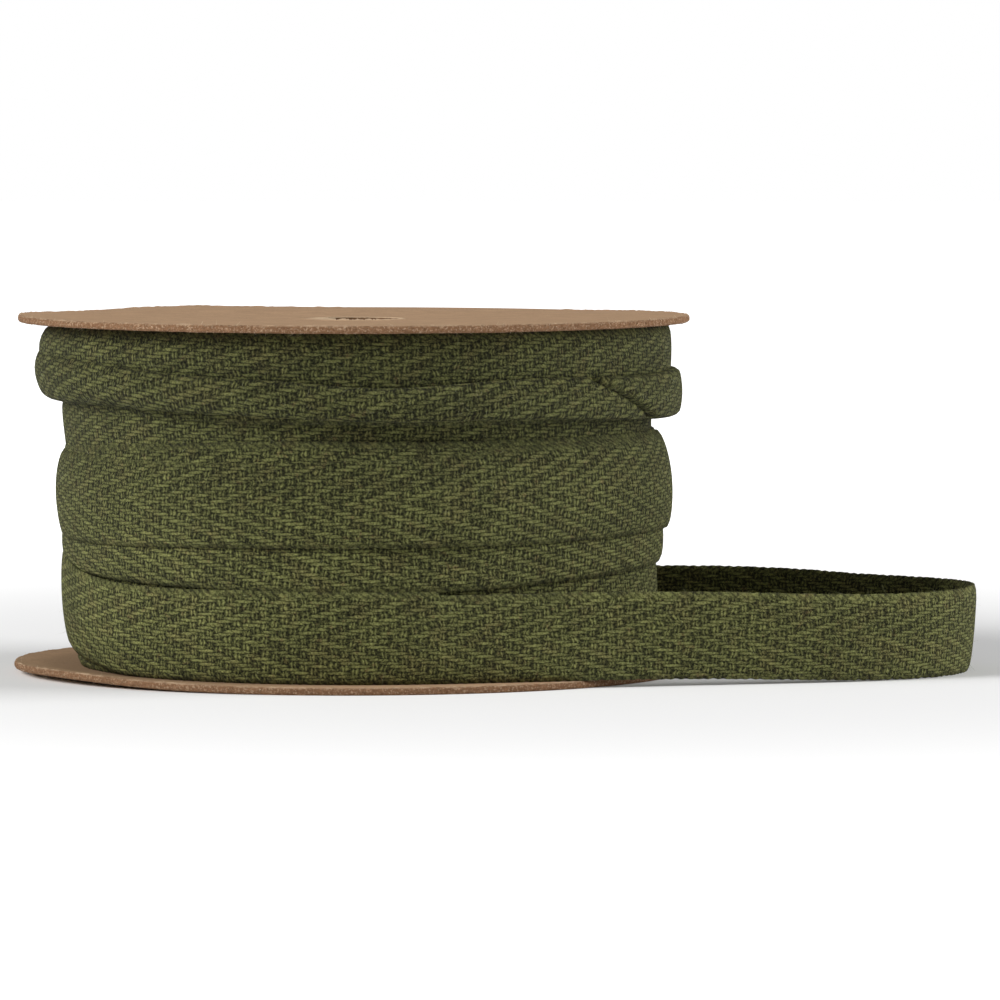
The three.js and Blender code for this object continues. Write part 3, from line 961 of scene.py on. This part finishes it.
# The torn paper's foot, the rise and ragged height of its tip, how far the tip stands off the
# hole's edge and its rags reach in, its bow, and how far it clears the board. It stands highest
# along the front, and a tongue of it, which lies lower, reaches in over the hole at the left.
TEAR = {"width": 0.75, "rise": 0.03, "ragged": 0.20, "off": 0.15, "reach": 0.45, "bow": 0.03,
        "clear": 0.025, "calm": 0.25, "raised_angle": -10, "raised_width": 60,
        "tongue": 3.6, "tongue_angle": -84, "tongue_width": 40, "tongue_fall": 0.55}


def torn_rim():
    """Paper lifted round the punched hole: a thin lip from the board's face up to a ragged tip
    and down again inside, with a tongue that leans in over the hole. The tip's radius and height
    follow the ragged edge and the tongue's bell curve, and the lip between rises by a power of
    the share of the way."""
    angle = full_turn(TEAR_STEPS)[:, None]
    jag = ragged(angle, 90, 200)
    raised = bell(angle, TEAR["raised_angle"], TEAR["raised_width"])
    jag = jag * (TEAR["calm"] + (1 - TEAR["calm"]) * raised)
    tongue = ring_bell(angle, TEAR["tongue_angle"], TEAR["tongue_width"])
    tip_radius = HOLE_RADIUS + TEAR["off"] - TEAR["reach"] * jag
    tip_radius = tip_radius - TEAR["tongue"] * tongue * (0.75 + 0.3 * jag)
    tip_height = TEAR["rise"] + TEAR["ragged"] * jag * (1 - TEAR["tongue_fall"] * tongue)
    base_radius = HOLE_RADIUS + TEAR["width"] * (0.7 + 0.5 * wobble(angle, 95, (3, 20)) ** 2)
    share = np.linspace(0, 1, TEAR_ROWS)[None, :]
    outer = base_radius + (tip_radius - base_radius) * share
    rise = tip_height * share**1.6 + TEAR["bow"] * np.sin(np.pi * share)
    radius = np.concatenate([outer, tip_radius - 0.03, outer[:, -2::-1]], axis=1)
    height = np.concatenate([rise, rise[:, ::-1] - PAPER], axis=1)
    height = SPOOL_TOP - DISH + TEAR["clear"] + height
    points = on_round(radius, angle, height, AXIS)
    torn = np.concatenate([share, share[:, ::-1]], axis=1) + 0 * angle
    marks = {"raw": 0 * torn, "torn": np.clip(torn * 1.6, 0, 1)}
    return mesh_from_grid("torn_rim", points, close_i=True, marks=marks)


# Loose fibres

# No fibre reaches below this height over the floor, in metres
LOWEST_FIBRE = 0.00002
# Number of the board's fibres, and length and radius of both kinds, in metres
BOARD_HAIRS = 520
COTTON_HAIR = (0.0011, 0.000009)
BOARD_HAIR = (0.00055, 0.000012)
# Points along a fibre, its fall in radius to the tip, the least share of the normal in its
# direction, its bend by chance and away from the surface, and the shortest before the power
HAIR_RINGS = 5
TAPER = 0.7
LEAST_RISE = 0.1
BEND, BEND_UP = 0.35, 0.15
SHORTEST = 0.35
TINY = 1e-9
# Distance from the axis, in metres, past which every point lies on the loose end
LOOSE_BEYOND = 0.036
# Width of the punched rim that carries fibres, and its least height over the floor, in metres
FIBRE_RIM = 0.0006
FIBRE_FLOOR = 0.0004


def hairs(name, roots, normals, count, length, radius, seed, rise=0.55):
    """Thin curved fibres on chosen points: each is a three-sided tube along root + direction * s
    + bend * s^2, with a chance direction between the surface and its normal."""
    chance = np.random.default_rng(SEED + seed)
    chosen = chance.integers(0, len(roots), count)
    root, normal = roots[chosen], normals[chosen]
    side = unit(np.cross(normal, chance.normal(size=(count, 3))), TINY)
    lift = chance.uniform(LEAST_RISE, rise, (count, 1))
    direction = side * (1 - lift) + normal * lift
    bend = chance.normal(size=(count, 3)) * BEND + normal * BEND_UP
    reach = chance.uniform(SHORTEST, 1, (count, 1)) ** 1.5 * length
    s = np.linspace(0, 1, HAIR_RINGS)
    path = direction[:, None] * s[:, None] + bend[:, None] * (s**2)[:, None]
    centre = root[:, None] + reach[:, None] * path
    across = unit(np.cross(direction, normal + 0.01), TINY)
    other = unit(np.cross(direction, across), TINY)
    turn = np.arange(3) * 2 * np.pi / 3
    ring = across[:, None] * np.cos(turn)[:, None] + other[:, None] * np.sin(turn)[:, None]
    taper = (1 - TAPER * s)[:, None, None] * radius
    points = centre[:, :, None] + ring[:, None] * taper
    points[..., 2] = np.maximum(points[..., 2], LOWEST_FIBRE)
    tube, _, _ = grid_quads(HAIR_RINGS, 3, close_i=False, close_j=True)
    last = HAIR_RINGS * 3 - 1
    base = np.arange(count)[:, None, None] * (last + 1)
    quads = (base + tube[None]).reshape(-1, 4)
    tips = np.array([[0, 1, 2], [last, last - 1, last - 2]])
    ends = (base + tips[None]).reshape(-1, 3)
    mesh = bpy.data.meshes.new(name)
    mesh.from_pydata(points.reshape(-1, 3).tolist(), [], quads.tolist() + ends.tolist())
    mesh.update()
    return place_object(name, mesh)


def surface_of(*names, keep=None):
    """Points and normals of finished pieces, in metres; keep chooses among them."""
    points, normals = [], []
    for name in names:
        mesh = bpy.data.objects[name].data
        layers = ((mesh.vertices, "co", points), (mesh.vertex_normals, "vector", normals))
        for layer, key, found in layers:
            values = np.empty(len(layer) * 3, np.float32)
            layer.foreach_get(key, values)
            found.append(values.reshape(-1, 3))
    points, normals = np.concatenate(points), np.concatenate(normals)
    chosen = np.ones(len(points), bool) if keep is None else keep(points, normals)
    return points[chosen].astype(float), normals[chosen].astype(float)


def outward_faces(points, normals):
    """Points whose normal faces away from the spool's axis, or that lie out on the loop."""
    away = points - np.array([AXIS[0] * MM, AXIS[1] * MM, 0])
    reach = np.linalg.norm(away[:, :2], axis=1)
    facing = (away[:, :2] * normals[:, :2]).sum(1) / reach
    return (facing > 0.3) | (reach > LOOSE_BEYOND)


def rims(points, normals):
    """Points on the punched rim of a board."""
    reach = np.hypot(points[:, 0] - AXIS[0] * MM, points[:, 1] - AXIS[1] * MM)
    return (reach > BOARD_RADIUS - FIBRE_RIM) & (points[:, 2] > FIBRE_FLOOR)


# Operators


class SPOOL_OT_boards(bpy.types.Operator):
    """Makes the two board cheeks and the torn paper round the upper hole"""

    bl_idname = "spool.boards"
    bl_label = "Board cheeks"

    def execute(self, context):
        lower = board_cheek("board_lower", 0.0, LOWER_AXIS, LOWER_RIM, LOWER_WAVES, 100)
        finish_piece(lower, "board", "flange_bottom")
        thick = context.scene.board.thickness / MM
        upper = board_cheek("board_upper", SPOOL_TOP - thick, AXIS, UPPER_RIM, UPPER_WAVES, 200)
        finish_piece(upper, "board", "flange_top")
        finish_piece(torn_rim(), "board")
        return {"FINISHED"}


class SPOOL_OT_round_turns(bpy.types.Operator):
    """Makes the inside of the winding and the turns that go straight round"""

    bl_idname = "spool.round_turns"
    bl_label = "Round turns"

    def execute(self, context):
        core = finish_piece(wound_core(), "tape", "winding")
        for number, (name, stations) in enumerate(ROUND_TURNS.items()):
            piece, length = round_turn(name, stations, 5 * number)
            declare_tape(piece, length, "stretched", [core.name])
        return {"FINISHED"}


class SPOOL_OT_folded_turn(bpy.types.Operator):
    """Makes the turn that is folded lengthwise, with its twist"""

    bl_idname = "spool.folded_turn"
    bl_label = "Folded turn"

    def execute(self, context):
        piece, length = folded_turn()
        declare_tape(piece, length, "folded", ["upper_turn"])
        return {"FINISHED"}


class SPOOL_OT_loose_tape(bpy.types.Operator):
    """Makes the last two turns with the loose end"""

    bl_idname = "spool.loose_tape"
    bl_label = "Last turns and loose end"

    def execute(self, context):
        piece, length = loose_tape()
        declare_tape(piece, length, "laid", ["lower_turn", "bed_turn"], "loose_tape")
        return {"FINISHED"}


class SPOOL_OT_lint(bpy.types.Operator):
    """Makes the loose fibres on the tape and on the punched rims"""

    bl_idname = "spool.lint"
    bl_label = "Loose fibres"

    def execute(self, context):
        names = [*list(ROUND_TURNS)[2:], "folded_turn", "last_turn_tape"]
        roots, normals = surface_of(*names, keep=outward_faces)
        count = context.scene.tape.hairs
        fuzz = hairs("tape_lint", roots, normals, count, *COTTON_HAIR, seed=300)
        finish_piece(fuzz, "tape", material=lint_material("cotton_lint", COTTON_LINT))
        roots, normals = surface_of("board_lower", "board_upper", keep=rims)
        fibres = hairs(
            "board_fibres", roots, normals, BOARD_HAIRS, *BOARD_HAIR, seed=310, rise=0.6)
        finish_piece(fibres, "board", material=lint_material("board_lint", BOARD_LINT))
        return {"FINISHED"}


class SPOOL_OT_studio(bpy.types.Operator):
    """Makes the pale floor, the soft lights, the sky and the camera"""

    bl_idname = "spool.studio"
    bl_label = "Studio"

    def execute(self, context):
        studio = context.scene.studio
        make_floor(studio)
        make_light("key_light", KEY_PLACE, KEY_SIZE, studio.key)
        make_light("fill_light", FILL_PLACE, FILL_SIZE, studio.fill)
        make_sky(context.scene, studio)
        context.scene.view_settings.view_transform = "Standard"
        make_camera(context.scene, studio)
        return {"FINISHED"}


FLOOR_SIZE = 3.0
# Distances from the spool between which the floor fades to white
FADE = (0.06, 0.40)
# Place, size and aim of the lights, in metres
KEY_PLACE, KEY_SIZE = (-0.88, -0.51, 0.54), 0.5
FILL_PLACE, FILL_SIZE = (1.05, 0.0, 0.42), 0.7
LIGHT_AIM = (0, 0, 0.02)
# Sideways place of the camera, in metres
CAMERA_X = 0.0001


def make_floor(studio):
    """Flat floor that fades to white away from the spool."""
    side = np.array([-FLOOR_SIZE, FLOOR_SIZE]) / MM
    points = np.stack(np.broadcast_arrays(side[:, None], side[None, :], 0.0), axis=-1)
    floor = mesh_from_grid("floor", points, close_j=False)
    material, wire, place = new_material("pale_floor")
    distance = wire.node(
        "ShaderNodeVectorMath", {"operation": "LENGTH"}, {0: place}, output="Value")
    glow = distance.eased(*FADE).blend((0, 0, 0), (1, 1, 1))
    close_material(wire, {
        "Base Color": (*studio.floor, 1), "Roughness": 0.9, "Specular IOR Level": 0.1,
        "Emission Color": glow, "Emission Strength": 1.0})
    floor.data.materials.append(material)


def make_sky(scene, studio):
    """White sky to the eye that lights the spool only as strongly as the setting says."""
    world = bpy.data.worlds.new("studio_sky")
    scene.world = world
    world.use_nodes = True
    world.node_tree.nodes.clear()
    wire = Wire(world.node_tree)
    ray = wire.node("ShaderNodeLightPath", output="Is Camera Ray")
    soft, white = [
        wire.node("ShaderNodeBackground", None, {"Color": (1, 1, 1, 1), "Strength": strength})
        for strength in (studio.sky, 1.0)
    ]
    mixed = wire.node("ShaderNodeMixShader", None, {0: ray, 1: soft, 2: white})
    wire.node("ShaderNodeOutputWorld", None, {"Surface": mixed}, output=None)


def make_light(name, place, size, power):
    """A square soft light at a place, aimed at the spool."""
    light = bpy.data.lights.new(name, "AREA")
    light.size, light.energy = size, power
    holder = place_object(name, light)
    holder.location = place
    toward = mathutils.Vector(LIGHT_AIM) - holder.location
    holder.rotation_euler = toward.to_track_quat("-Z", "Y").to_euler()


def make_camera(scene, studio):
    """The camera stands in front of the footprint's middle and looks a little down."""
    camera = bpy.data.cameras.new("photo_camera")
    camera.sensor_width = 36
    camera.lens = studio.lens
    camera.clip_start, camera.clip_end = 0.05, 20
    holder = place_object("photo_camera", camera)
    holder.location = (CAMERA_X, AXIS[1] * MM - studio.distance, studio.height)
    holder.rotation_euler = (math.pi / 2 - studio.pitch, 0, 0)
    scene.camera = holder


class SPOOL_PT_panel(bpy.types.Panel):
    """Lists the settings and the pieces."""

    bl_idname = "SPOOL_PT_panel"
    bl_label = "Tape spool"
    bl_space_type = "VIEW_3D"
    bl_region_type = "UI"
    bl_category = "Spool"

    def draw(self, context):
        scene = context.scene
        for settings in (scene.tape, scene.board, scene.studio):
            box = self.layout.box()
            for key in settings.__annotations__:
                box.prop(settings, key)
        for operator in OPERATORS:
            self.layout.operator(operator.bl_idname)


SETTINGS = {"tape": TapeSettings, "board": BoardSettings, "studio": StudioSettings}
OPERATORS = (
    SPOOL_OT_boards, SPOOL_OT_round_turns, SPOOL_OT_folded_turn, SPOOL_OT_loose_tape,
    SPOOL_OT_lint, SPOOL_OT_studio,
)


def register():
    """Adds the settings, the operators and the panel to Blender."""
    for cls in (*SETTINGS.values(), *OPERATORS, SPOOL_PT_panel):
        bpy.utils.register_class(cls)
    for name, cls in SETTINGS.items():
        setattr(bpy.types.Scene, name, bpy.props.PointerProperty(type=cls))


def unregister():
    """Takes them out again."""
    for name in SETTINGS:
        delattr(bpy.types.Scene, name)
    for cls in (SPOOL_PT_panel, *reversed(OPERATORS), *SETTINGS.values()):
        bpy.utils.unregister_class(cls)


def main():
    """Makes the spool and its studio."""
    register()
    bpy.ops.spool.studio()
    bpy.ops.spool.boards()
    bpy.ops.spool.round_turns()
    bpy.ops.spool.folded_turn()
    bpy.ops.spool.loose_tape()
    bpy.ops.spool.lint()


if __name__ == "__main__":
    main()
